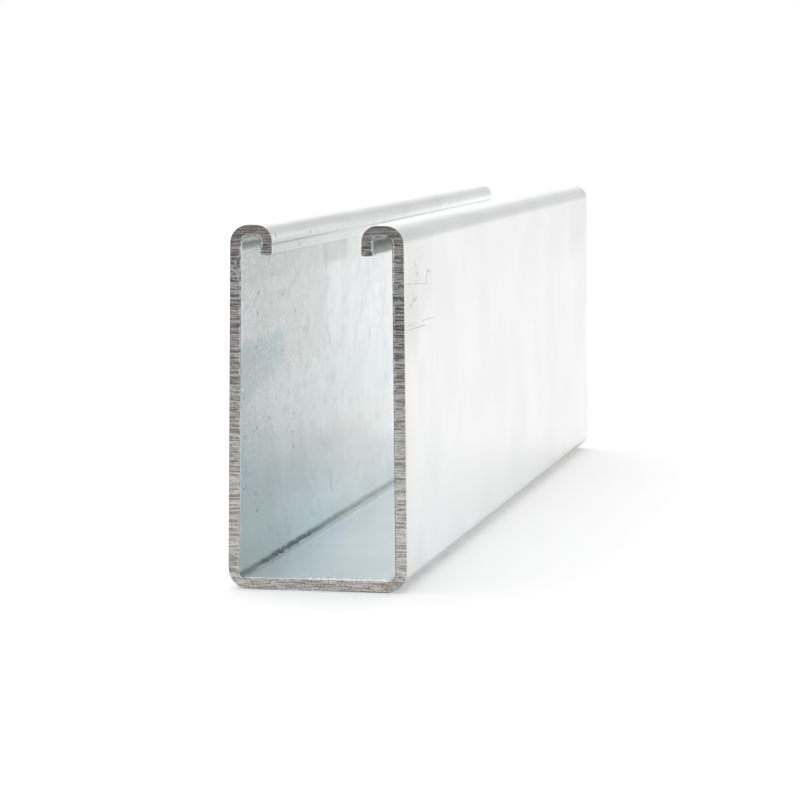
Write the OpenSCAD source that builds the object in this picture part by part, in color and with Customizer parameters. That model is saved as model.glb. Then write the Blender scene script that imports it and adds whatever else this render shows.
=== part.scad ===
// Deep strut channel: one steel strip rolled into a plain-backed U with in-turned lips.
// Millimetres. The web lies on z = 0, the slot is up, and the length runs along Y.

/* [Section] */
// Overall width, where the walls are widest, just above the web
channel_w = 41.3; // [36:0.1:60]
// Overall height, from the underside of the web to the top of the lips
channel_h = 82.6; // [40:0.1:120]
// Thickness of the steel strip
strip_t = 2.7; // [1.5:0.1:3.2]
// Angle by which each side wall leans in towards the slot, in degrees
wall_lean = 0.6; // [0:0.1:1]

/* [Lips] */
// Width of each lip, from the outer face of its wall to the slot
lip_w = 9.7; // [9:0.1:12]
// Depth of each lip, from its top down to its free edge
lip_h = 6.9; // [6:0.1:12]
// Rounding of the lips' free edges
lip_edge_r = 0.6; // [0.2:0.1:0.7]

/* [Bends] */
// Inside radius of the bends between the web and the walls
web_bend_r = 1.4; // [0.5:0.1:4]
// Extra radius on the outside of those bends, where the strip is drawn a little thinner
web_bend_extra = 0.8; // [0:0.1:1.5]
// Inside radius of the bends between the walls and the lips
wall_bend_r = 1.6; // [0.5:0.1:3]
// Inside radius of the bends that turn the lips down
lip_bend_r = 1; // [0.4:0.1:1.4]

/* [Length] */
// Length between the two sawn ends
channel_len = 304.8; // [50:0.1:3000]

/* [Hidden] */
$fn = 96;

// Radius of each bend on the outside of the strip
web_bend_out = web_bend_r + strip_t + web_bend_extra;
wall_bend_out = wall_bend_r + strip_t;
lip_bend_out = lip_bend_r + strip_t;

// Outward direction of a leaning wall
wall_out = [cos(wall_lean), sin(wall_lean)];

// Distance from the middle of the underside to the plane of a wall's outer face
wall_reach = [channel_w / 2 - web_bend_out, web_bend_out] * wall_out + web_bend_out;

// The point at height z that lies a given depth behind the right wall's outer face
function behind_wall(z, depth) = [(wall_reach - depth - z * wall_out.y) / wall_out.x, z];

// Centres of the two upper bends, on the right-hand side of the section
wall_bend_at = behind_wall(channel_h - wall_bend_out, wall_bend_out);
lip_bend_at = [wall_bend_at.x + wall_bend_out * wall_out.x - lip_w + lip_bend_out, channel_h - lip_bend_out];

// Depth by which the walls' faces sit inside the bends' tangents, so that each pair always crosses
seat = 0.001;

// The web, walls and top as one closed shape with rounded corners, inset from the outer faces
module closed_outline(inset, web_r) {
    wall_r = wall_bend_out - inset;
    web_bend_at = behind_wall(inset + web_r, inset + web_r);
    right = [
        [web_bend_at.x, inset],
        web_bend_at + (web_r - seat) * wall_out,
        wall_bend_at + (wall_r - seat) * wall_out,
        [wall_bend_at.x, channel_h - inset]
    ];
    left = [for (i = [len(right) - 1:-1:0]) [-right[i].x, right[i].y]];
    polygon(concat(right, left));
    for (side = [-1, 1]) {
        translate([side * web_bend_at.x, web_bend_at.y]) circle(web_r);
        translate([side * wall_bend_at.x, wall_bend_at.y]) circle(wall_r);
    }
}

// The middle of the top, cut away between the bends that turn the lips down
module slot_cut() {
    edge = lip_bend_at.x;
    polygon([[-edge, channel_h / 2], [edge, channel_h / 2], [edge, 2 * channel_h], [-edge, 2 * channel_h]]);
}

// The bend that turns a lip down, drawn about its own centre
module lip_bend() {
    intersection() {
        difference() {
            circle(lip_bend_out);
            circle(lip_bend_r);
        }
        translate([-lip_bend_out, 0]) square(lip_bend_out);
    }
}

// The leg below that bend, drawn from its lower slot-side corner, with its free edge rounded
module lip_leg() {
    translate([0, lip_edge_r])
        square([strip_t, lip_h - lip_bend_out - lip_edge_r]);
    translate([lip_edge_r, 0])
        square([strip_t - 2 * lip_edge_r, lip_edge_r]);
    for (across = [lip_edge_r, strip_t - lip_edge_r])
        translate([across, lip_edge_r])
            circle(lip_edge_r);
}

module lip() {
    translate(lip_bend_at) {
        lip_bend();
        translate([-lip_bend_out, lip_bend_out - lip_h]) lip_leg();
    }
}

// The whole section, with the slot up
module section() {
    difference() {
        closed_outline(0, web_bend_out);
        closed_outline(strip_t, web_bend_r);
        slot_cut();
    }
    lip();
    mirror([1, 0]) lip();
}

module strut_channel() {
    color("lightgray")
        rotate([90, 0, 0])
            linear_extrude(channel_len, center = true)
                section();
}

strut_channel();
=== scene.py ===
"""Deep galvanised strut channel on a white studio floor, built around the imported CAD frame."""
import math

import bpy
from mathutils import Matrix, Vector, noise


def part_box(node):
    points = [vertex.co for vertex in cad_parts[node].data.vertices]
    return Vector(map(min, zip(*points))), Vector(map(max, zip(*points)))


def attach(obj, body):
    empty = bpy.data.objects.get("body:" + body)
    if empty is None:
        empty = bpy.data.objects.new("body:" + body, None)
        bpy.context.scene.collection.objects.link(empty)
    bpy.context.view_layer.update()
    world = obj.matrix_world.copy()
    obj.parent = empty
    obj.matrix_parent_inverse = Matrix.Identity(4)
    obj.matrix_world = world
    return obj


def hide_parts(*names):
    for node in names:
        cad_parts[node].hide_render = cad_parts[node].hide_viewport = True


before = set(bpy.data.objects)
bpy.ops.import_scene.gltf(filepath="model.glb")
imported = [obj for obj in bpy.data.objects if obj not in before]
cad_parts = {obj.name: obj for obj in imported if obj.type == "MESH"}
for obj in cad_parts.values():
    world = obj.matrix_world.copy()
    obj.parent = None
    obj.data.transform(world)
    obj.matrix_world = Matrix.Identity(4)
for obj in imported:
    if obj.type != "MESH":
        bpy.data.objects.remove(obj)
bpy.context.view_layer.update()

NODE = "strut_channel"
MM = 0.001
WHITE = (1, 1, 1, 1)
box_low, box_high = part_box(NODE)

# ---------------------------------------------------------------- sizes of the section, in metres
WIDTH = box_high.x - box_low.x
HEIGHT = box_high.z - box_low.z
NEAR_Y = box_low.y
FAR_Y = box_high.y
STRIP_T = 2.7 * MM
WALL_LEAN = math.radians(0.6)
LIP_W = 9.7 * MM
LIP_H = 6.9 * MM
WEB_BEND_R = 1.4 * MM
WEB_BEND_EXTRA = 0.8 * MM
WALL_BEND_R = 1.6 * MM
LIP_BEND_R = 1.0 * MM
LIP_EDGE_R = 0.6 * MM

# Outside radius of each bend
WEB_BEND_OUT = WEB_BEND_R + STRIP_T + WEB_BEND_EXTRA
WALL_BEND_OUT = WALL_BEND_R + STRIP_T
LIP_BEND_OUT = LIP_BEND_R + STRIP_T

# Distances from the middle: a wall's inner face at its foot and its top, the end of the flat web, the slot
WALL_FOOT_X = WIDTH / 2 - STRIP_T
WALL_TOP_X = WALL_FOOT_X - (HEIGHT - WEB_BEND_OUT - WALL_BEND_OUT) * math.tan(WALL_LEAN)
WEB_FLAT_X = WALL_FOOT_X - WEB_BEND_R
SLOT_X = WALL_TOP_X + STRIP_T - LIP_W

# Heights: the lips' free edges and the underside of the top
LIP_EDGE_Z = HEIGHT - LIP_H
TOP_INSIDE_Z = HEIGHT - STRIP_T

# ---------------------------------------------------------------- fine relief, in metres
CHAMFER = 0.07 * MM
POCKET_BEVEL = 0.12 * MM
POCKET_BEVEL_FROM = 9 * MM
POCKET_BEVEL_FULL = 6 * MM
SAW_DEPTH = 0.08 * MM
CREASE_ABOVE_EDGE = 2.4 * MM
CREASE_DEPTH = 0.07 * MM
CREASE_HALF_WIDTH = 0.45 * MM
SHEET_WAVE = 0.03 * MM
BURR_TALLEST = 0.6 * MM
BURR_FACE = 0.03 * MM
BURR_THICK = 0.35 * MM
BURR_ROOT = 0.2 * MM
BURR_REACH = WALL_FOOT_X - 0.6 * WEB_BEND_R

# How often the relief's noise repeats in a metre: along X, Y and Z, along X and Z, or along X alone
SHEET_WAVES = (30, 22, 45)
COARSE_SCORES = (60, 1100)
FINE_SCORES = (150, 2800)
BURR_TEETH = 1700
BURR_CLUMPS = 380

# Where that noise starts, so that no two ends look the same
NEAR_SAW_SEED = 3
FAR_SAW_SEED = 29
FINE_SEED_STEP = 7
NEAR_BURR_SEED = 1
FAR_BURR_SEED = 8
CLUMP_SEED_STEP = 5

# ---------------------------------------------------------------- mesh resolution
WEB_STEP = 0.5 * MM
WALL_STEP = 0.3 * MM
LEG_STEP = 0.1 * MM
BEND_STEPS = 16
CAP_COLUMNS = 9
BODY_ROWS = 18
BODY_FROM_END = 2 * MM
BURR_STEP = 0.15 * MM
SHARP_ANGLE = math.radians(35)

# A lip's leg is told from its bend by its inward direction, which rises by less than this
LEG_TOLERANCE = 0.001


# ---------------------------------------------------------------- the section as a walk along the strip
def half_path():
    """Right half of the section, from the middle of the web to the free edge: (outer, inner, inward)."""
    lean_sin = math.sin(WALL_LEAN)
    lean_cos = math.cos(WALL_LEAN)
    quarter = math.pi / 2
    wall_rise = HEIGHT - WEB_BEND_OUT * (1 + lean_sin) - WALL_BEND_OUT * (1 - lean_sin)
    top_flat = LIP_W - WALL_BEND_OUT * lean_cos - LIP_BEND_OUT
    longer = WEB_BEND_EXTRA * math.tan((quarter + WALL_LEAN) / 2)
    legs = [
        (WIDTH / 2 - WEB_BEND_OUT, longer, WEB_STEP, quarter + WALL_LEAN, WEB_BEND_OUT, WEB_BEND_R),
        (wall_rise / lean_cos, longer, WALL_STEP, quarter - WALL_LEAN, WALL_BEND_OUT, WALL_BEND_R),
        (top_flat, 0.0, WEB_STEP, quarter, LIP_BEND_OUT, LIP_BEND_R),
        (LIP_H - LIP_BEND_OUT, 0.0, LEG_STEP, 0.0, 0.0, 0.0),
    ]
    path = []
    outer_start = Vector((0, 0))
    inner_start = Vector((0, STRIP_T))
    heading = 0.0
    for flat, longer_inside, step, angle, outer_radius, inner_radius in legs:
        along = Vector((math.cos(heading), math.sin(heading)))
        inward = Vector((-along.y, along.x))
        outer_run = along * flat
        inner_run = along * (flat + longer_inside)
        count = max(2, round(flat / step))
        for k in range(1 if path else 0, count + 1):
            path.append((outer_start + outer_run * k / count, inner_start + inner_run * k / count, inward))
        outer_centre = outer_start + outer_run + inward * outer_radius
        inner_centre = inner_start + inner_run + inward * inner_radius
        if angle:
            for k in range(1, BEND_STEPS + 1):
                turned = heading + angle * k / BEND_STEPS
                inward = Vector((-math.sin(turned), math.cos(turned)))
                outer = outer_centre - inward * outer_radius
                inner = inner_centre - inward * inner_radius
                path.append((outer, inner, inward))
            heading += angle
        outer_start, inner_start, inward = path[-1]
    return path


def smooth(value, low, high):
    """Runs smoothly from 0 to 1 while the value runs from low to high."""
    t = min(1.0, max(0.0, (value - low) / (high - low)))
    return t * t * (3 - 2 * t)


def round_off(distance, radius):
    """How far a rounded edge draws a face in, at a distance from the strip's free edge."""
    if distance >= radius:
        return 0.0
    return radius - math.sqrt(max(0.0, radius ** 2 - (radius - distance) ** 2))


def crease(distance):
    """Depth of the roller's crease on the slot side of a lip, at a distance from the free edge."""
    off = abs(distance - CREASE_ABOVE_EDGE) / CREASE_HALF_WIDTH
    return CREASE_DEPTH * (1 - smooth(off, 0.0, 1.0))


class Station:
    """One step along the strip: its outer and inner points and the direction between them."""

    def __init__(self, outer, inner, inward):
        by_slot = abs(outer.x) < WIDTH / 2 - LIP_W / 2 and outer.y > HEIGHT / 2
        on_leg = by_slot and abs(inward.y) < LEG_TOLERANCE
        above_edge = outer.y - LIP_EDGE_Z if on_leg else math.inf
        rounding = round_off(above_edge, LIP_EDGE_R)
        self.inward = inward
        self.inner = inner - inward * rounding
        self.outer = outer + inward * (rounding + (crease(above_edge) if on_leg else 0.0))
        in_pocket = smooth(outer.y, HEIGHT - POCKET_BEVEL_FROM, HEIGHT - POCKET_BEVEL_FULL)
        self.bevel = CHAMFER + (POCKET_BEVEL - CHAMFER) * in_pocket


def strip_stations():
    """Every station of the strip, from the left lip's free edge to the right lip's."""
    right = half_path()
    left = [[Vector((-v.x, v.y)) for v in step] for step in reversed(right[1:])]
    return [Station(*step) for step in left + right]


def sheet_wave(x, y, z):
    """How far the sheet's faces stray from flat at a point."""
    across, along, up = SHEET_WAVES
    return SHEET_WAVE * noise.noise(Vector((x * across, y * along, z * up)))


def scores(x, z, repeats, seed):
    """Level scores at a point of a cut end, from about -1 to 1."""
    across, up = repeats
    return noise.noise(Vector((x * across, seed, z * up)))


def saw_mark(x, z, seed):
    """Depth of the saw's coarse and fine scores at a point of a cut end."""
    coarse = scores(x, z, COARSE_SCORES, seed)
    fine = scores(x, z, FINE_SCORES, seed + FINE_SEED_STEP)
    return SAW_DEPTH * (0.5 + 0.5 * coarse + 0.4 * fine)


# ---------------------------------------------------------------- meshes
class Builder:
    """Collects vertices and faces; across is 0 on the strip's outer face and 1 on its inner face."""

    def __init__(self):
        self.vertices = []
        self.faces = []
        self.slots = []
        self.across = []

    def vertex(self, point, across):
        self.vertices.append(point)
        self.across.append(across)
        return len(self.vertices) - 1

    def face(self, corners, slot):
        self.faces.append(corners)
        self.slots.append(slot)

    def mesh(self, name, materials):
        mesh = bpy.data.meshes.new(name)
        mesh.from_pydata(self.vertices, [], self.faces)
        for material in materials:
            mesh.materials.append(material)
        mesh.polygons.foreach_set("material_index", self.slots)
        mesh.attributes.new("across", "FLOAT", "POINT").data.foreach_set("value", self.across)
        mesh.update()
        return mesh


ZINC_SLOT, SAWN_SLOT, BURR_SLOT = 0, 1, 2


def add_ring(builder, stations, end_y, into, at_end):
    """A closed ring of vertices round the strip, at a cut end or just inside it."""
    outer_ids = []
    inner_ids = []
    for station in stations:
        outer_inset = CHAMFER if at_end else 0.0
        inner_inset = station.bevel if at_end else 0.0
        outer = station.outer + station.inward * outer_inset
        inner = station.inner - station.inward * inner_inset
        outer_y = end_y + (0.0 if at_end else into * CHAMFER)
        inner_y = end_y + (0.0 if at_end else into * station.bevel)
        outer_ids.append(builder.vertex((outer.x, outer_y, outer.y), 0.0))
        inner_ids.append(builder.vertex((inner.x, inner_y, inner.y), 1.0))
    return outer_ids + inner_ids[::-1]


def add_row(builder, stations, y):
    """A closed ring of vertices round the strip, away from its ends."""
    ids = []
    for side in (0, 1):
        for station in stations if side == 0 else stations[::-1]:
            base = station.outer if side == 0 else station.inner
            point = base + station.inward * sheet_wave(base.x, y, base.y)
            ids.append(builder.vertex((point.x, y, point.y), float(side)))
    return ids


def join_rings(builder, near, far, slot):
    """A band of faces between two rings."""
    size = len(near)
    for i in range(size):
        j = (i + 1) % size
        builder.face((near[i], near[j], far[j], far[i]), slot)


def add_cut_end(builder, ring, into, seed):
    """The sawn face that closes the strip, scored by the saw."""
    size = len(ring)
    columns = []
    for i in range(size // 2):
        outer_id = ring[i]
        inner_id = ring[size - 1 - i]
        outer = Vector(builder.vertices[outer_id])
        inner = Vector(builder.vertices[inner_id])
        column = [outer_id]
        for c in range(1, CAP_COLUMNS):
            across = c / CAP_COLUMNS
            point = outer.lerp(inner, across)
            point.y += into * saw_mark(point.x, point.z, seed)
            column.append(builder.vertex(tuple(point), across))
        column.append(inner_id)
        columns.append(column)
    for a, b in zip(columns, columns[1:]):
        for c in range(CAP_COLUMNS):
            quad = (a[c], a[c + 1], b[c + 1], b[c])
            builder.face(quad if into > 0 else quad[::-1], SAWN_SLOT)


def add_burr(builder, end_y, into, seed):
    """The ragged burr the saw leaves along the inner edge of the web, heavier to the right."""
    count = round(2 * BURR_REACH / BURR_STEP)
    rows = []
    for k in range(count + 1):
        x = -BURR_REACH + 2 * BURR_REACH * k / count
        teeth = noise.noise(Vector((x * BURR_TEETH, seed, 0)))
        clumps = noise.noise(Vector((x * BURR_CLUMPS, seed, CLUMP_SEED_STEP)))
        heavy = smooth(x, -BURR_REACH, 0.3 * BURR_REACH)
        height = BURR_TALLEST * min(1.0, max(0.0, 0.8 * heavy - 0.25 + 1.4 * teeth + 0.7 * clumps))
        rows.append([
            builder.vertex((x, end_y + into * BURR_FACE, STRIP_T - BURR_ROOT), 1.0),
            builder.vertex((x, end_y + into * BURR_FACE, STRIP_T - BURR_ROOT / 2 + height), 1.0),
            builder.vertex((x, end_y + into * BURR_THICK, STRIP_T - BURR_ROOT), 1.0),
        ])
    for a, b in zip(rows, rows[1:]):
        for c in (0, 1):
            quad = (a[c], a[c + 1], b[c + 1], b[c])
            builder.face(quad[::-1] if into > 0 else quad, BURR_SLOT)


def channel_mesh():
    """The whole channel: its faces from end to end, the two sawn ends and their burrs."""
    stations = strip_stations()
    builder = Builder()
    rings = [
        add_ring(builder, stations, NEAR_Y, 1, True),
        add_ring(builder, stations, NEAR_Y, 1, False),
    ]
    length = FAR_Y - NEAR_Y - 2 * BODY_FROM_END
    for k in range(BODY_ROWS + 1):
        rings.append(add_row(builder, stations, NEAR_Y + BODY_FROM_END + length * k / BODY_ROWS))
    rings.append(add_ring(builder, stations, FAR_Y, -1, False))
    rings.append(add_ring(builder, stations, FAR_Y, -1, True))
    for near, far in zip(rings, rings[1:]):
        join_rings(builder, near, far, ZINC_SLOT)
    add_cut_end(builder, rings[0], 1, NEAR_SAW_SEED)
    add_cut_end(builder, rings[-1], -1, FAR_SAW_SEED)
    add_burr(builder, NEAR_Y, 1, NEAR_BURR_SEED)
    add_burr(builder, FAR_Y, -1, FAR_BURR_SEED)
    return builder.mesh("channel_detail", [zinc_material(), sawn_material(), burr_material()])


# ---------------------------------------------------------------- node helpers
# Most values of a noise lie between these
NOISE_LOW = 0.3
NOISE_HIGH = 0.7


class Shader:
    """A small wrapper that builds the node tree of a material or a world."""

    def __init__(self, owner):
        self.tree = owner.node_tree
        self.tree.nodes.clear()
        kind = "ShaderNodeOutputWorld" if isinstance(owner, bpy.types.World) else "ShaderNodeOutputMaterial"
        self.output = self.node(kind)

    def node(self, kind, inputs=None, **settings):
        made = self.tree.nodes.new(kind)
        for key, value in settings.items():
            setattr(made, key, value)
        for key, value in (inputs or {}).items():
            self.feed(made.inputs[key], value)
        return made

    def feed(self, socket, value):
        """Links another node's output to the socket, or sets it to a plain value."""
        if isinstance(value, bpy.types.NodeSocket):
            self.tree.links.new(value, socket)
        else:
            socket.default_value = value

    def math(self, operation, a, b=0.0, clamp=False):
        return self.node("ShaderNodeMath", {0: a, 1: b}, operation=operation, use_clamp=clamp).outputs[0]

    def product(self, first, *others):
        for other in others:
            first = self.math("MULTIPLY", first, other)
        return first

    def total(self, first, *others):
        for other in others:
            first = self.math("ADD", first, other)
        return first

    def vector(self, operation, a, b=(0, 0, 0)):
        return self.node("ShaderNodeVectorMath", {0: a, 1: b}, operation=operation)

    def scaled(self, vector, scale):
        made = self.node("ShaderNodeVectorMath", {0: vector, "Scale": scale}, operation="SCALE")
        return made.outputs["Vector"]

    def ramp(self, value, low, high, out_low=0.0, out_high=1.0):
        """Runs smoothly from out_low to out_high while the value runs from low to high."""
        made = self.node("ShaderNodeMapRange", clamp=True, interpolation_type="SMOOTHSTEP")
        self.feed(made.inputs["Value"], value)
        self.feed(made.inputs["From Min"], low)
        self.feed(made.inputs["From Max"], high)
        self.feed(made.inputs["To Min"], out_low)
        self.feed(made.inputs["To Max"], out_high)
        return made.outputs["Result"]

    def rise(self, distance, start, full, least=0.0, most=1.0):
        """Rises from least to most while a distance goes between two values given in millimetres."""
        return self.ramp(distance, start * MM, full * MM, least, most)

    def fall(self, distance, full, end, most=1.0, least=0.0):
        """Falls from most to least while a distance goes between two values given in millimetres."""
        return self.ramp(distance, full * MM, end * MM, most, least)

    def pick(self, mask, off, on):
        """One value where the mask is 0 and another where it is 1."""
        return self.ramp(mask, 0.0, 1.0, off, on)

    def spread(self, noise, low, high):
        """Spreads the usual values of a noise between two limits."""
        return self.ramp(noise, NOISE_LOW, NOISE_HIGH, low, high)

    def between(self, value, low, high, blend):
        """1 between two limits, with a soft edge outside each."""
        above_low = self.ramp(value, low - blend, low)
        below_high = self.ramp(value, high, high + blend, 1.0, 0.0)
        return self.product(above_low, below_high)

    def band(self, distance, low, high, blend):
        """1 between two distances, with a soft edge outside each, all given in millimetres."""
        return self.between(distance, low * MM, high * MM, blend * MM)

    def mix(self, factor, a, b, blend="MIX"):
        made = self.node("ShaderNodeMix", data_type="RGBA", blend_type=blend)
        self.feed(made.inputs["Factor"], factor)
        self.feed(made.inputs["A"], a)
        self.feed(made.inputs["B"], b)
        return made.outputs["Result"]

    def tinted(self, mask, colour, tint):
        """The colour, multiplied by the tint where the mask is 1."""
        return self.mix(mask, colour, self.mix(1.0, colour, tint, "MULTIPLY"))

    def noise(self, place, scale, detail=3.0, roughness=0.5):
        """Cloudy noise; the scale is one number, or one for each axis."""
        scales = scale if isinstance(scale, tuple) else (scale, scale, scale)
        made = self.node("ShaderNodeTexNoise")
        self.feed(made.inputs["Vector"], self.vector("MULTIPLY", place, scales).outputs[0])
        made.inputs["Scale"].default_value = 1.0
        made.inputs["Detail"].default_value = detail
        made.inputs["Roughness"].default_value = roughness
        return made.outputs["Fac"]

    def near_line(self, flat_place, start, end, half_width):
        """1 on the line between two points given as (along, height), fading to 0 at half_width."""
        a = Vector((0, start[0], start[1]))
        b = Vector((0, end[0], end[1]))
        reach = b - a
        from_a = self.vector("SUBTRACT", flat_place, a).outputs["Vector"]
        share = self.vector("DOT_PRODUCT", from_a, reach / reach.length_squared).outputs["Value"]
        share = self.math("ADD", share, 0.0, clamp=True)
        foot = self.scaled(reach, share)
        aside = self.vector("SUBTRACT", from_a, foot).outputs["Vector"]
        off = self.vector("LENGTH", aside).outputs["Value"]
        return self.ramp(off, 0.0, half_width, 1.0, 0.0)

    def surface(self, inputs, bump=None):
        """Sends a principled surface to the output, with a bump where one is given."""
        made = self.node("ShaderNodeBsdfPrincipled", inputs)
        if bump:
            self.feed(made.inputs["Normal"], self.node("ShaderNodeBump", bump).outputs["Normal"])
        self.feed(self.output.inputs["Surface"], made.outputs["BSDF"])


def new_material(name):
    material = bpy.data.materials.new(name)
    material.use_nodes = True
    return material


# ---------------------------------------------------------------- zinc coated sheet
# Colours of the clean coating; the low tones also hold a painted blue reflection, the top tone is a painted
# highlight, and so is the lip tone on the lips' slot sides
OUTSIDE_TONE = (0.80, 0.80, 0.80, 1)
OUTSIDE_LOW_TONE = (0.81, 0.835, 0.84, 1)
INSIDE_TONE = (0.88, 0.905, 0.896, 1)
INSIDE_LOW_TONE = (0.84, 0.94, 0.97, 1)
TOP_HIGHLIGHT = (0.96, 0.96, 0.96, 1)
LIP_HIGHLIGHT = (0.97, 0.975, 0.97, 1)
TONE_SPREAD = 0.03

# Tints multiply the colour. Those of the web's corners, the pockets behind the lips and the lips, mostly
# painted shade, painted highlight and painted reflection, with some dirt in the corners:
CORNER_RIM_DIRT_AND_SHADE = (0.72, 0.76, 0.76, 1)
ABOVE_CORNER_SHADE = (0.84, 0.85, 0.86, 1)
BESIDE_CORNER_HIGHLIGHT = (1.16, 1.16, 1.16, 1)
CORNER_DIRT_AND_SHADE = (0.03, 0.05, 0.055, 1)
POCKET_SHADE = (0.72, 0.76, 0.74, 1)
POCKET_ROOF_SHADE = (0.4, 0.45, 0.45, 1)
LEFT_POCKET_LIGHT = (1.5, 1.5, 1.5, 1)
RIGHT_POCKET_SHADE = (0.9, 0.88, 0.89, 1)
LIP_BEND_REFLECTION = (0.76, 0.765, 0.765, 1)
LIP_CREASE_SHADE = (0.55, 0.56, 0.56, 1)
FREE_EDGE_SHADE = (0.45, 0.46, 0.46, 1)

# Those of the inner walls, among them painted reflection, painted shadow and painted light
RIGHT_WALL_LOW = (0.9, 0.9, 0.91, 1)
BLUE_REFLECTION_TINT = (0.81, 0.87, 0.91, 1)
STREAK = (0.74, 0.76, 0.76, 1)
UNDER_LIP_SHADOW = (0.92, 0.92, 0.92, 1)
LIP_SHADE = (0.87, 0.87, 0.87, 1)
UPPER_BY_CUT = (1.06, 1.06, 1.06, 1)
UPPER_NEAR = (0.93, 0.93, 0.93, 1)
UPPER_MIDDLE_LIGHT = (1.07, 1.07, 1.07, 1)
UPPER_FAR = (1.01, 0.988, 1.012, 1)
COLD_BAND = (0.975, 1.015, 1.03, 1)
DULL_BAND = (0.96, 0.975, 0.99, 1)
LOWER_NEAR_REFLECTION = (0.93, 0.955, 0.98, 1)
LOWER_FAR_REFLECTION = (1.12, 1.13, 1.15, 1)
WARM_FOOT = (0.97, 0.95, 0.9, 1)

# Those of the outer walls, with painted shade at their foot, and of the specks
BY_CUT = (0.925, 0.925, 0.915, 1)
RUBBED = (0.92, 0.92, 0.92, 1)
SCUFFED = (0.6, 0.6, 0.59, 1)
OUTER_TOP = (0.97, 0.97, 0.97, 1)
UNDERSIDE_SHADE = (0.84, 0.83, 0.81, 1)
FOOT_CONTACT_SHADE = (0.69, 0.675, 0.655, 1)
DARK_SPECK = (0.62, 0.65, 0.65, 1)
LIGHT_SPECK = (1.12, 1.12, 1.12, 1)

# Tints of the reflection at a slant, on the corners' dirt and painted shade and on the lumps where dirt has
# caked
DIRT_AND_SHADE_SHEEN = (0.85, 0.98, 0.99, 1)
CAKED_SHEEN = (0.4, 0.48, 0.49, 1)

# Sizes of the zinc's patches and grain
PATCH_SIZE = 26 * MM
MOTTLE_SIZE = 7 * MM
FLECK_SIZE = 2.2 * MM
SCRAPE_SIZE = 1.8 * MM
BLOTCH_LENGTH = 5 * MM
BLOTCH_HEIGHT = 3 * MM
GRAIN_SIZE = 0.7 * MM

# How many times longer the grains and the specks are along the strip than across it
GRAIN_STRETCH = 2.5
SPECK_STRETCH = 2.5

# How often the specks repeat in a metre, and the lumps of caked grime along X, Y and Z
SPECKS_IN_METRE = 200.0
CAKE_LUMPS = (900, 400, 900)

# How strongly the blotches, the grain and the dark runs show
BLOTCH_CONTRAST = 0.25
GRAIN_CONTRAST = 0.46
STREAK_STRENGTH = 0.75

# Roughness of the coating, and what its scuffs add; how much of the bump's height the specks take
ZINC_ROUGHNESS = 0.27
SCUFF_ROUGHNESS = 0.1
SPECK_HEIGHT = 0.3

# Where the low, blue tone with its painted reflection gives way to the pale one, and how much lower that is
# a metre from the near cut
TINT_FROM = 12 * MM
TINT_FULL = 44 * MM
TINT_SLOPE = 0.16

# How far from the middle the inner and the outer walls' tints set in and are full, in millimetres
INNER_WALL_FROM = 14
INNER_WALL_FULL = 15
OUTER_WALL_FROM = 15
OUTER_WALL_FULL = 17

# Marks on the right wall by the near cut, in millimetres: start and end, each as (from the near cut, above
# the floor), and half width
SCUFFS = [
    ((1, 69.5), (27, 68.2), 0.2),
    ((13.4, 73.5), (14.3, 72.7), 0.35),
    ((12.5, 71.8), (17, 70.6), 0.25),
    ((13, 69.2), (18, 72.2), 0.25),
    ((14, 68.9), (20, 69.8), 0.3),
    ((16, 71.8), (20.5, 68.8), 0.25),
    ((26.5, 68.6), (28, 71.2), 0.5),
    ((28, 71.2), (33, 70.6), 0.5),
    ((9.8, 67), (11.1, 65.2), 0.35),
    ((14.4, 65.6), (11.1, 65.2), 0.4),
    ((11.1, 65.2), (6.5, 64.1), 0.35),
    ((2.4, 60.2), (12.4, 59.6), 0.15),
    ((21, 60), (37, 59.8), 0.2),
    ((2, 59.1), (26, 58.7), 0.22),
    ((27.6, 58.5), (29.6, 56.6), 0.2),
]
# Rubbed patches of the same wall, one by each end, given in the same way
RUBBED_PATCHES = [
    ((8, 62), (28, 74), 14),
    ((272, 70), (300, 76), 14),
]
# Dark runs in the coating of the left wall's inner side, given in the same way
STREAKS = [
    ((69, 57.5), (71, 55), 0.8),
    ((71, 55), (68, 52.5), 0.8),
    ((92, 53), (97, 48), 0.9),
    ((138, 58), (134, 52), 0.9),
    ((130, 51.5), (126, 45), 0.9),
    ((147, 48.5), (147, 46.5), 1.2),
    ((86, 28), (86, 25), 0.9),
    ((98, 15), (99, 11.5), 1.6),
]


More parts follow.
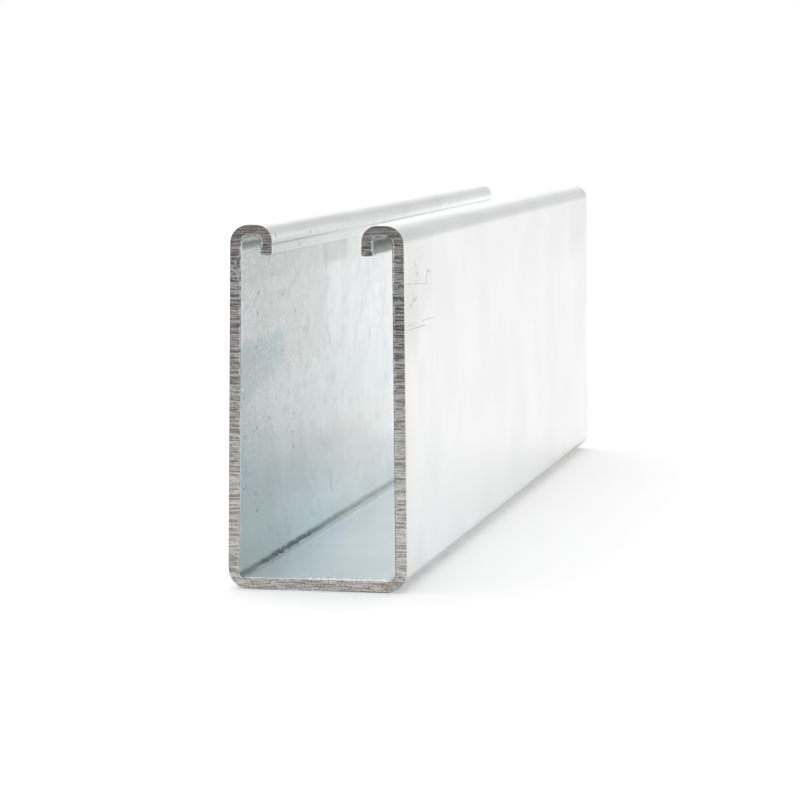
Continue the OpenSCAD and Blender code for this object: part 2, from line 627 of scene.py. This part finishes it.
class Zinc:
    """The coated sheet's colour, built up in layers over the object's own coordinates."""

    def __init__(self, s):
        self.s = s
        self.place = s.node("ShaderNodeTexCoord").outputs["Object"]
        split = s.node("ShaderNodeSeparateXYZ", {"Vector": self.place})
        self.x = split.outputs["X"]
        self.y = split.outputs["Y"]
        self.z = split.outputs["Z"]
        self.side = s.math("ABSOLUTE", self.x)
        self.from_cut = s.math("SUBTRACT", self.y, NEAR_Y)
        self.above_edge = s.math("SUBTRACT", self.z, LIP_EDGE_Z)
        normal = s.node("ShaderNodeTexCoord").outputs["Normal"]
        self.facing_up = s.node("ShaderNodeSeparateXYZ", {"Vector": normal}).outputs["Z"]
        self.on_wall = s.node("ShaderNodeCombineXYZ", {"Y": self.y, "Z": self.z}).outputs[0]
        self.on_left = s.fall(self.x, 0, 1)
        self.on_right = s.rise(self.x, 0, 1)
        self.patch = s.noise(self.place, 1 / PATCH_SIZE, 2)
        self.mottle = s.noise(self.place, 1 / MOTTLE_SIZE, 1)
        self.fleck = s.noise(self.place, 1 / FLECK_SIZE, 1)
        self.inside = self.inner_faces()
        self.colour = self.ground()

    def tint(self, mask, tint):
        """Adds a layer: the colour multiplied by the tint where the mask is 1."""
        self.colour = self.s.tinted(mask, self.colour, tint)

    def sloped(self, slope):
        """The height, counted as this much more for each metre from the near cut."""
        return self.s.total(self.z, self.s.product(self.from_cut, slope))

    def inner_faces(self):
        """1 on the faces that look into the channel."""
        s = self.s
        between_walls = s.ramp(self.side, WALL_FOOT_X, WALL_FOOT_X + STRIP_T / 2, 1.0, 0.0)
        return s.product(between_walls, s.ramp(self.z, TOP_INSIDE_Z, TOP_INSIDE_Z + STRIP_T / 2, 1.0, 0.0))

    def ground(self):
        """Bluer and duller low down by the near end, a painted reflection, whiter and brighter elsewhere,
        with a painted highlight on the tops.
        """
        s = self.s
        height = s.total(self.sloped(TINT_SLOPE), s.spread(self.patch, -4 * MM, 4 * MM))
        # Low down, the tones hold a painted blue reflection
        high = s.ramp(height, TINT_FROM, TINT_FULL)
        outside = s.mix(high, OUTSIDE_LOW_TONE, OUTSIDE_TONE)
        # Upward faces high on the section take a painted highlight
        on_top = s.product(s.ramp(self.facing_up, 0.75, 0.95), s.ramp(self.z, HEIGHT * 0.5, HEIGHT * 0.75))
        outside = s.mix(on_top, outside, TOP_HIGHLIGHT)
        inside = s.mix(high, INSIDE_LOW_TONE, INSIDE_TONE)
        base = s.mix(self.inside, outside, inside)
        shift = s.ramp(self.patch, 0.34, 0.66, 1 - TONE_SPREAD, 1 + TONE_SPREAD)
        return s.scaled(base, s.product(shift, s.total(self.blotches(), self.grain(), 1.0)))

    def blotches(self):
        """Spangle of the inner faces, fainter on the web, low on the walls and by the near cut."""
        s = self.s
        blotch = s.noise(self.place, (1 / BLOTCH_LENGTH, 1 / BLOTCH_LENGTH, 1 / BLOTCH_HEIGHT), 2)
        off_web = s.ramp(self.z, STRIP_T + MM, STRIP_T + 3 * MM, 0.5)
        heights = s.product(off_web, s.rise(self.z, 20, 40, 0.8))
        by_cut = s.rise(self.from_cut, 20, 45, 0.45, 0.8)
        contrast = s.fall(self.from_cut, 80, 130, BLOTCH_CONTRAST, 0.85 * BLOTCH_CONTRAST)
        darker = s.ramp(blotch, 0.3, 0.4, -0.25, 0.0)
        blotch = s.total(s.math("SUBTRACT", blotch, 0.5), darker)
        return s.product(self.inside, heights, by_cut, contrast, blotch)

    def grain(self):
        """Fine grain of the inner faces, strongest high on the walls by the near cut."""
        s = self.s
        grain = s.noise(self.place, (1 / GRAIN_SIZE, 1 / (GRAIN_STRETCH * GRAIN_SIZE), 1 / GRAIN_SIZE), 1)
        contrast = s.ramp(self.z, STRIP_T, 40 * MM, 0.1 * GRAIN_CONTRAST, GRAIN_CONTRAST)
        fading = s.product(s.fall(self.from_cut, 15, 45, 1, 0.7), s.fall(self.from_cut, 50, 90))
        return s.product(self.inside, contrast, fading, s.math("SUBTRACT", grain, 0.5))

    def corners(self):
        """Dirt and painted shade in the web's inner bends, painted shade on the duller wall above them, a
        painted highlight on the brighter web beside them.
        """
        s = self.s
        run = s.math("SUBTRACT", self.side, WEB_FLAT_X)
        rise = s.math("SUBTRACT", STRIP_T + WEB_BEND_R, self.z)
        bend = s.product(s.rise(s.math("MINIMUM", run, rise), -0.1, 0.05), self.inside)
        turned = s.total(s.math("ARCTAN2", run, rise), s.spread(self.fleck, -0.12, 0.12))
        # Painted shade with some dirt towards the wall's end of each bend
        self.tint(s.product(bend, s.between(turned, 1.3, 1.5, 0.25)), CORNER_RIM_DIRT_AND_SHADE)
        # Painted shade on the wall just above the bends
        low = s.ramp(self.z, STRIP_T + 2 * MM, STRIP_T + 11 * MM, 1, 0)
        beyond_web = s.ramp(self.side, WEB_FLAT_X, WALL_FOOT_X - 0.5 * MM)
        self.tint(s.product(self.inside, low, beyond_web, s.fall(self.from_cut, 40, 80)), ABOVE_CORNER_SHADE)
        # A painted highlight on the web beside the bends
        on_web = s.ramp(self.z, STRIP_T + 0.1 * MM, STRIP_T + 0.4 * MM, 1, 0)
        beside = s.ramp(self.side, WEB_FLAT_X - 3.5 * MM, WEB_FLAT_X - 0.3 * MM)
        self.tint(s.product(self.inside, on_web, beside), BESIDE_CORNER_HIGHLIGHT)
        self.corner_dirt_and_shade(bend, turned)

    def corner_dirt_and_shade(self, bend, turned):
        """Dirt and painted shade round the middle of the bends, fading away from the cut, and lumps where
        dirt has caked.
        """
        s = self.s
        reach = s.product(s.rise(self.from_cut, 0, 45, 0.78), s.fall(self.from_cut, 50, 150, 1, 0.55))
        ragged = s.spread(self.mottle, 0.88, 1.0)
        self.dirt_and_shade = s.product(bend, s.between(turned, 0.5, 1.12, 0.2), reach, ragged)
        # Dirt and painted shade round the middle of the bends
        self.tint(self.dirt_and_shade, CORNER_DIRT_AND_SHADE)
        lumps = s.ramp(s.noise(self.place, CAKE_LUMPS, 2, 0.6), 0.47, 0.6)
        thick = s.product(s.band(self.from_cut, 26, 72, 14), s.between(turned, 0.6, 0.95, 0.15))
        self.caked = s.product(bend, thick, lumps)

    def pockets(self):
        """Painted shade makes the coating dark and dull in the pockets behind the lips."""
        s = self.s
        behind = s.between(self.side, SLOT_X + STRIP_T - 0.4 * MM, WALL_TOP_X + MM, 0.2 * MM)
        level = s.between(self.z, LIP_EDGE_Z + 0.8 * MM, TOP_INSIDE_Z, 0.6 * MM)
        pocket_shade = s.product(behind, level)
        # Painted shade in the pockets, darkest on their roofs, lifted on the left and deepened on the right
        self.tint(pocket_shade, POCKET_SHADE)
        self.tint(s.product(pocket_shade, s.ramp(self.facing_up, -0.02, -0.3)), POCKET_ROOF_SHADE)
        self.tint(s.product(pocket_shade, self.on_left), LEFT_POCKET_LIGHT)
        self.tint(s.product(pocket_shade, self.on_right), RIGHT_POCKET_SHADE)

    def lip_bends(self):
        """A painted dark reflection makes the outside bends of the lips duller, the right one over a wider
        stretch by the near cut.
        """
        s = self.s
        wider = s.product(s.pick(self.on_right, 0.45, 1), s.fall(self.from_cut, 60, 120))
        flat_from = s.pick(wider, 0.5, 0.92)
        flat_full = s.pick(wider, 0.93, 1.0)
        below_flat = s.ramp(self.facing_up, flat_from, flat_full, 1.0, 0.0)
        bend = s.product(s.ramp(self.facing_up, 0.0, 0.25), below_flat)
        reflection_strength = s.product(s.pick(self.on_right, 1, 0.6), s.fall(self.from_cut, 150, 290, 1, 0.75))
        # Painted dark reflection on the lips' outside bends
        self.tint(s.product(s.rise(self.above_edge, 0, 2), bend, reflection_strength), LIP_BEND_REFLECTION)

    def lip_slot_sides(self):
        """A painted highlight band with painted shade in the crease and along the free edge, all three
        fading away from the cut.
        """
        s = self.s
        slot_side = s.ramp(self.side, SLOT_X + 0.5 * MM, SLOT_X + 0.7 * MM, 1, 0)
        slot_side = s.product(slot_side, s.rise(self.above_edge, 0, 0.01))
        bright = s.product(s.fall(self.above_edge, 3, 5), s.fall(self.from_cut, 50, 130, 1, 0.15))
        # Painted highlight on the slot side
        self.colour = s.mix(s.product(slot_side, bright), self.colour, LIP_HIGHLIGHT)
        in_crease = s.between(self.above_edge, CREASE_ABOVE_EDGE, CREASE_ABOVE_EDGE, 0.6 * MM)
        # Painted shade in the crease
        self.tint(s.product(slot_side, in_crease, s.fall(self.from_cut, 30, 110, 1, 0.1)), LIP_CREASE_SHADE)
        by_edge = s.product(s.fall(self.above_edge, 0.2, 0.5), s.fall(self.from_cut, 20, 90, 0.6, 0.1))
        # Painted shade along the free edge
        self.tint(s.product(slot_side, by_edge), FREE_EDGE_SHADE)

    def inner_walls(self):
        """The right inner wall is duller low down; the left one has a painted blue reflection, dark runs
        and broad tones, some of them painted light, shadow and reflection.
        """
        s = self.s
        right = s.product(self.inside, s.rise(self.x, INNER_WALL_FROM, INNER_WALL_FULL))
        self.tint(s.product(right, s.fall(self.z, 30, 44)), RIGHT_WALL_LOW)
        left = s.product(self.inside, s.fall(self.x, -INNER_WALL_FULL, -INNER_WALL_FROM))
        left = s.product(left, s.ramp(self.z, STRIP_T + 0.2 * MM, STRIP_T + MM))
        self.blue_reflection(left)
        self.tint(s.product(left, self.strokes(STREAKS), STREAK_STRENGTH), STREAK)
        self.upper_tones(left)
        self.lower_tones(left)

    def blue_reflection(self, wall):
        """A painted blue reflection by the near cut, with wavy edges; its foot climbs away from the cut."""
        s = self.s
        wave = s.spread(self.mottle, -MM, MM)
        top = s.fall(s.total(self.z, wave), 54.6, 56.2)
        foot = s.rise(s.total(self.sloped(-0.09), wave), 40, 45)
        # Painted blue reflection on the left wall by the near cut
        self.tint(s.product(wall, top, foot, s.fall(self.from_cut, 36, 50)), BLUE_REFLECTION_TINT)

    def upper_tones(self, wall):
        """Painted shadow and shade under the lip, and tones of the upper half in turn from the near cut to
        the far one, the middle one painted light.
        """
        s = self.s
        under_lip_shadow = s.product(s.rise(self.z, 67.7, 70.2), s.fall(self.from_cut, 110, 128, 1, 0.3))
        # Painted shadow just under the lip
        self.tint(s.product(wall, under_lip_shadow), UNDER_LIP_SHADOW)
        self.tint(s.product(wall, s.rise(self.z, 68.5, 70), s.band(self.from_cut, 90, 114, 5)), LIP_SHADE)
        self.tint(s.product(wall, s.rise(self.z, 53, 56), s.fall(self.from_cut, 5, 18)), UPPER_BY_CUT)
        upper = s.product(wall, s.rise(self.z, 46, 52))
        self.tint(s.product(upper, s.fall(self.from_cut, 87, 96)), UPPER_NEAR)
        clear_of_lip = s.math("SUBTRACT", 1.0, under_lip_shadow)
        # Painted light on the upper wall, in the middle of its length
        self.tint(s.product(upper, s.band(self.from_cut, 96, 106, 6), clear_of_lip), UPPER_MIDDLE_LIGHT)
        far_heights = s.product(s.rise(self.z, 26, 44), s.fall(self.z, 67, 69))
        self.tint(s.product(wall, far_heights, s.rise(self.from_cut, 88, 98)), UPPER_FAR)

    def lower_tones(self, wall):
        """Tones of the lower half, from the middle of the wall down; two of them follow a sloping line, and
        the blue one by the near cut and the bright one towards the far cut are painted reflection.
        """
        s = self.s
        cold = s.product(s.band(self.z, 31, 42, 5), s.fall(self.from_cut, 60, 90, 1, 0.8))
        self.tint(s.product(wall, cold), COLD_BAND)
        self.tint(s.product(wall, s.band(self.sloped(0.11), 24, 27, 4)), DULL_BAND)
        near = s.product(s.fall(self.sloped(0.1), 20, 34), s.fall(self.from_cut, 60, 140, 1, 0.1))
        # Painted blue reflection low down by the near cut
        self.tint(s.product(wall, near), LOWER_NEAR_REFLECTION)
        # Painted reflection of the bright floor, low down towards the far cut
        self.tint(s.product(wall, s.band(self.z, 11, 18.5, 6), s.rise(self.from_cut, 60, 110)), LOWER_FAR_REFLECTION)
        self.tint(s.product(wall, s.fall(self.z, 18, 24), s.fall(self.from_cut, 34, 60)), WARM_FOOT)

    def outside(self):
        """Darker by the near cut, wear and handling marks on the right outer wall, painted shade along the
        foot of both.
        """
        s = self.s
        right_wall = s.ramp(self.x, WALL_FOOT_X + 0.45 * MM, WALL_FOOT_X + 1.05 * MM)
        wandering = s.total(self.from_cut, s.spread(self.patch, -8 * MM, 8 * MM))
        self.tint(s.product(right_wall, s.fall(wandering, 2, 26)), BY_CUT)
        for patch in RUBBED_PATCHES:
            self.tint(s.product(right_wall, s.ramp(self.stroke(*patch), 0.0, 0.8)), RUBBED)
        broken = s.ramp(s.noise(self.place, 1 / SCRAPE_SIZE, 1), 0.36, 0.56, 0.2, 1.0)
        self.scuffs = s.product(right_wall, self.strokes(SCUFFS), broken)
        self.tint(self.scuffs, SCUFFED)
        self.tint(s.product(right_wall, s.rise(self.z, 54, 68)), OUTER_TOP)
        outermost = s.rise(self.side, OUTER_WALL_FROM, OUTER_WALL_FULL)
        # Painted shade on the underside and along the foot, where the walls meet the floor
        self.tint(s.product(outermost, s.fall(self.z, 1.2, 2)), UNDERSIDE_SHADE)
        self.tint(s.product(outermost, s.band(self.z, 2.1, 2.9, 0.9)), FOOT_CONTACT_SHADE)

    def stroke(self, start, end, half_width):
        """A stroke seen square on to a wall, given as the marks above."""
        a = (NEAR_Y + start[0] * MM, start[1] * MM)
        b = (NEAR_Y + end[0] * MM, end[1] * MM)
        return self.s.near_line(self.on_wall, a, b, half_width * MM)

    def strokes(self, marks):
        """All the strokes of a list of marks."""
        found = 0.0
        for mark in marks:
            found = self.s.math("MAXIMUM", found, self.stroke(*mark))
        return found

    def specks(self):
        """Small pimples of dross, dark and light; fainter far from the near cut, on the web and outside."""
        s = self.s
        along = s.product(self.y, 1 / SPECK_STRETCH)
        unrolled = s.node("ShaderNodeCombineXYZ", {"X": along, "Y": s.total(self.x, self.z)}).outputs[0]
        cells = s.node("ShaderNodeTexVoronoi", voronoi_dimensions="2D")
        s.feed(cells.inputs["Vector"], unrolled)
        s.feed(cells.inputs["Scale"], SPECKS_IN_METRE)
        chance = s.node("ShaderNodeSeparateColor", {"Color": cells.outputs["Color"]}).outputs["Red"]
        speck = s.ramp(cells.outputs["Distance"], 0.03, 0.11, 1, 0)
        fading = s.fall(self.from_cut, 40, 130, 1, 0.2)
        off_web = s.ramp(self.z, STRIP_T, STRIP_T + 3 * MM, 0.35, 1)
        speck = s.product(speck, fading, off_web, s.pick(self.inside, 0.3, 1))
        dark = s.product(speck, s.ramp(chance, 0.22, 0.26, 1, 0))
        light = s.product(speck, s.ramp(chance, 0.82, 0.84))
        self.tint(dark, DARK_SPECK)
        self.tint(light, LIGHT_SPECK)
        self.raised = s.math("MAXIMUM", dark, light)


def zinc_material():
    """Bright coated steel, rougher in its scuffs and raised at its specks."""
    material = new_material("zinc_sheet")
    s = Shader(material)
    zinc = Zinc(s)
    zinc.corners()
    zinc.pockets()
    zinc.lip_bends()
    zinc.lip_slot_sides()
    zinc.inner_walls()
    zinc.outside()
    zinc.specks()
    rough = s.total(ZINC_ROUGHNESS, s.product(zinc.scuffs, SCUFF_ROUGHNESS))
    # The corners' dirt and painted shade also darken the reflection there
    sheen = s.mix(zinc.caked, s.mix(zinc.dirt_and_shade, WHITE, DIRT_AND_SHADE_SHEEN), CAKED_SHEEN)
    inputs = {"Metallic": 1.0, "Base Color": zinc.colour, "Roughness": rough, "Specular Tint": sheen}
    bump = {"Strength": 0.1, "Distance": 0.1 * MM, "Height": s.product(zinc.raised, SPECK_HEIGHT)}
    s.surface(inputs, bump)
    return material


# ---------------------------------------------------------------- bare sawn steel
# Colours between the scores and in them: low on the section, low to its right, and at its top, where
# painted shade darkens them
SAWN_LOW_LIGHT = (0.65, 0.635, 0.6, 1)
SAWN_RIGHT_LIGHT = (0.71, 0.695, 0.665, 1)
SAWN_HIGH_LIGHT = (0.36, 0.36, 0.345, 1)
SAWN_LOW_DARK = (0.285, 0.27, 0.255, 1)
SAWN_HIGH_DARK = (0.065, 0.064, 0.06, 1)

# Colours of the crowns, of the scraped patch, of the painted glint and of the painted shade lines at the
# edges
SAWN_CROWN = (0.19, 0.163, 0.163, 1)
SAWN_SCRAPED = (0.5, 0.49, 0.48, 1)
SAWN_GLINT = (0.75, 0.75, 0.74, 1)
SAWN_INNER_EDGE_SHADE = (0.07, 0.09, 0.1, 1)
SAWN_LOWER_EDGE_SHADE = (0.07, 0.065, 0.06, 1)

# Colour of the burr's torn edge
BURR_COLOUR = (0.95, 0.95, 0.94, 1)

# Tint of the rust
SAWN_RUST = (1.0, 0.86, 0.86, 1)

# Heights at which painted shade on the cut of the left and of the right wall starts to darken it, and is at
# its darkest
SAWN_LEFT_PALE, SAWN_LEFT_DARK = 12 * MM, 76 * MM
SAWN_RIGHT_PALE, SAWN_RIGHT_DARK = 16 * MM, 64 * MM

# How often each noise of the cut repeats in a metre, along X, Y and Z
COARSE_MARKS = (130, 130, 2200)
THIN_MARKS = (300, 300, 4200)
GRIT = (2600, 2600, 3400)
RUST_MARKS = (90, 90, 700)
SCRAPE_MARKS = (1200, 1200, 1500)
GLINT_BREAKS = (500, 500, 900)


def sawn_marks(s, place, z):
    """Level scores with grit between them; the web's cut has more grit and hardly any coarse scores."""
    on_wall = s.ramp(z, STRIP_T, STRIP_T + 2 * MM)
    coarse_share = s.pick(on_wall, 0.05, 0.35)
    grit_share = s.pick(on_wall, 0.42, 0.22)
    thin_share = s.math("SUBTRACT", s.math("SUBTRACT", 1.0, coarse_share), grit_share)
    coarse = s.product(s.noise(place, COARSE_MARKS, 2, 0.5), coarse_share)
    thin = s.product(s.noise(place, THIN_MARKS, 2, 0.6), thin_share)
    grit = s.product(s.noise(place, GRIT, 1), grit_share)
    return s.total(coarse, thin, grit)


def sawn_ground(s, x, z, marks):
    """Painted shade: dark at the top of the section and paler towards the floor; the right wall darkens
    lower down.
    """
    right = s.rise(x, 0, 10)
    pale = s.pick(right, SAWN_LEFT_PALE, SAWN_RIGHT_PALE)
    darkest = s.pick(right, SAWN_LEFT_DARK, SAWN_RIGHT_DARK)
    # Painted shade, deepening towards the top
    high = s.ramp(z, pale, darkest)
    low_light = s.mix(s.rise(x, -10, 14), SAWN_LOW_LIGHT, SAWN_RIGHT_LIGHT)
    light = s.mix(high, low_light, SAWN_HIGH_LIGHT)
    dark = s.mix(high, SAWN_LOW_DARK, SAWN_HIGH_DARK)
    return s.mix(s.ramp(marks, 0.44, 0.56), dark, light)


def sawn_patches(s, place, x, z, colour):
    """Browner crowns, a scraped patch on the left one's shoulder, and a trace of rust in streaks."""
    colour = s.mix(s.rise(z, 77, 80, 0.1, 0.4), colour, SAWN_CROWN)
    shoulder = s.product(s.fall(x, -18, -16.5), s.rise(z, 66, 69), s.fall(z, 74, 78))
    scraped = s.ramp(s.noise(place, SCRAPE_MARKS, 2), 0.45, 0.6)
    colour = s.mix(s.product(shoulder, scraped, 0.5), colour, SAWN_SCRAPED)
    rusty = s.product(s.ramp(s.noise(place, RUST_MARKS, 1), 0.52, 0.62), 0.35)
    return s.tinted(rusty, colour, SAWN_RUST)


def sawn_edges(s, place, x, z, colour):
    """A broken painted glint along the inner edge with a line of painted shade beyond it, and a line of
    painted shade by the floor.
    """
    across = s.node("ShaderNodeAttribute", attribute_name="across").outputs["Fac"]
    broken = s.ramp(s.noise(place, GLINT_BREAKS, 2), 0.42, 0.58)
    glint = s.product(s.ramp(across, 0.84, 0.9), s.ramp(across, 0.93, 0.97, 1, 0), broken, 0.8)
    # Painted glint along the inner edge
    colour = s.mix(glint, colour, SAWN_GLINT)
    # Painted shade beyond the glint
    colour = s.mix(s.product(s.ramp(across, 0.94, 0.98), s.fall(z, 70, 76)), colour, SAWN_INNER_EDGE_SHADE)
    # Painted shade along the edge by the floor
    return s.mix(s.product(s.fall(z, 0.12, 0.35), s.rise(x, 2, 12)), colour, SAWN_LOWER_EDGE_SHADE)


def sawn_material():
    """Bare steel, scored and dulled by the saw."""
    material = new_material("sawn_steel")
    s = Shader(material)
    place = s.node("ShaderNodeTexCoord").outputs["Object"]
    split = s.node("ShaderNodeSeparateXYZ", {"Vector": place})
    x = split.outputs["X"]
    z = split.outputs["Z"]
    marks = sawn_marks(s, place, z)
    colour = sawn_ground(s, x, z, marks)
    colour = sawn_patches(s, place, x, z, colour)
    colour = sawn_edges(s, place, x, z, colour)
    bump = {"Strength": 0.5, "Distance": 0.05 * MM, "Height": marks}
    s.surface({"Metallic": 0.6, "Roughness": 0.5, "Base Color": colour}, bump)
    return material


def burr_material():
    """Torn, bright steel."""
    material = new_material("bright_burr")
    Shader(material).surface({"Metallic": 0.5, "Roughness": 0.4, "Base Color": BURR_COLOUR})
    return material


# ---------------------------------------------------------------- the object
def build_channel():
    """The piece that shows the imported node."""
    mesh = channel_mesh()
    for polygon in mesh.polygons:
        polygon.use_smooth = True
    mesh.set_sharp_from_angle(angle=SHARP_ANGLE)
    channel = bpy.data.objects.new("channel_detail", mesh)
    bpy.context.scene.collection.objects.link(channel)
    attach(channel, "root")
    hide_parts(NODE)


# ---------------------------------------------------------------- studio
LENS = 148.5
CAMERA_AZIMUTH = math.radians(10.87)
CAMERA_ELEVATION = math.radians(5.47)
CAMERA_DISTANCE = 0.7369
AIM = Vector((0.0190, NEAR_Y, 0.0437))

FLOOR_SIZE = 8.0
FLOOR_BELOW = 0.1 * MM
FLOOR_PAINT = (0.9, 0.9, 0.9, 1)
FLOOR_GLOW = 0.225

# The room that reflections see, by how far a ray points up or to the right: its walls and its ceiling
ROOM_COLOUR = (0.87, 0.885, 0.885, 1)
ROOM_ABOVE_FROM = -0.03
ROOM_ABOVE_FULL = 0.1
ROOM_RIGHT_FROM = -0.08
ROOM_RIGHT_FULL = 0.1
CEILING_FROM = 0.6
CEILING_FULL = 0.85
FILL_STRENGTH = 0.76

SUN_ENERGY = 0.75
SUN_WIDTH = math.radians(70)
SUN_TILT = (math.radians(-20), math.radians(-18), 0)


def build_camera():
    """The photo's camera: a long lens, a little above the floor and to the right of the channel."""
    data = bpy.data.cameras.new("camera")
    data.lens = LENS
    data.sensor_width = 36.0
    data.clip_start = 0.01
    data.clip_end = 50.0
    camera = bpy.data.objects.new("camera", data)
    bpy.context.scene.collection.objects.link(camera)
    level = math.cos(CAMERA_ELEVATION)
    sideways = math.sin(CAMERA_AZIMUTH) * level
    forwards = math.cos(CAMERA_AZIMUTH) * level
    back = Vector((sideways, -forwards, math.sin(CAMERA_ELEVATION)))
    camera.location = AIM + back * CAMERA_DISTANCE
    camera.rotation_euler = (math.pi / 2 - CAMERA_ELEVATION, 0, CAMERA_AZIMUTH)
    bpy.context.scene.camera = camera


def seen_sharply(s, rays):
    """1 for rays from the camera, a reflection or through glass; 0 for light that falls on a surface."""
    seen = s.math("MAXIMUM", rays.outputs["Is Camera Ray"], rays.outputs["Is Glossy Ray"])
    return s.math("MAXIMUM", seen, rays.outputs["Is Transmission Ray"])


def floor_material():
    """White paint that glows a little where it is seen, so that it melts into the background."""
    material = new_material("studio_floor")
    s = Shader(material)
    paint = s.node("ShaderNodeBsdfDiffuse", {"Color": FLOOR_PAINT})
    glow = s.node("ShaderNodeEmission", {"Color": WHITE, "Strength": FLOOR_GLOW})
    lit = s.node("ShaderNodeAddShader", {0: paint.outputs[0], 1: glow.outputs[0]})
    seen = seen_sharply(s, s.node("ShaderNodeLightPath"))
    pick = s.node("ShaderNodeMixShader", {0: seen, 1: paint.outputs[0], 2: lit.outputs[0]})
    s.feed(s.output.inputs["Surface"], pick.outputs[0])
    return material


def build_floor():
    """A broad, level floor, a hair below the channel so that the two never share a plane."""
    half = FLOOR_SIZE / 2
    corners = [(-half, -half, 0), (half, -half, 0), (half, half, 0), (-half, half, 0)]
    mesh = bpy.data.meshes.new("floor")
    mesh.from_pydata(corners, [], [(0, 1, 2, 3)])
    mesh.materials.append(floor_material())
    floor = bpy.data.objects.new("floor", mesh)
    bpy.context.scene.collection.objects.link(floor)
    floor.location.z = -FLOOR_BELOW


def build_world():
    """White all round for the camera; reflections also see the dimmer room above and to the right."""
    world = bpy.data.worlds.new("studio")
    world.use_nodes = True
    bpy.context.scene.world = world
    s = Shader(world)
    toward = s.node("ShaderNodeTexCoord").outputs["Generated"]
    split = s.node("ShaderNodeSeparateXYZ", {"Vector": toward})
    up = split.outputs["Z"]
    right = s.ramp(split.outputs["X"], ROOM_RIGHT_FROM, ROOM_RIGHT_FULL)
    above = s.ramp(up, ROOM_ABOVE_FROM, ROOM_ABOVE_FULL)
    wall = s.mix(s.product(right, above), WHITE, ROOM_COLOUR)
    room = s.mix(s.ramp(up, CEILING_FROM, CEILING_FULL), wall, WHITE)
    rays = s.node("ShaderNodeLightPath")
    colour = s.mix(rays.outputs["Is Glossy Ray"], WHITE, room)
    strength = s.pick(seen_sharply(s, rays), FILL_STRENGTH, 1.0)
    light = s.node("ShaderNodeBackground", {"Color": colour, "Strength": strength})
    s.feed(s.output.inputs["Surface"], light.outputs[0])


def build_sun():
    """Soft light from the upper left, so that the shadow falls to the right."""
    data = bpy.data.lights.new("softbox", "SUN")
    data.energy = SUN_ENERGY
    data.angle = SUN_WIDTH
    sun = bpy.data.objects.new("softbox", data)
    bpy.context.scene.collection.objects.link(sun)
    sun.rotation_euler = SUN_TILT


build_camera()
build_channel()
build_floor()
build_world()
build_sun()
bpy.context.scene.view_settings.view_transform = "Standard"
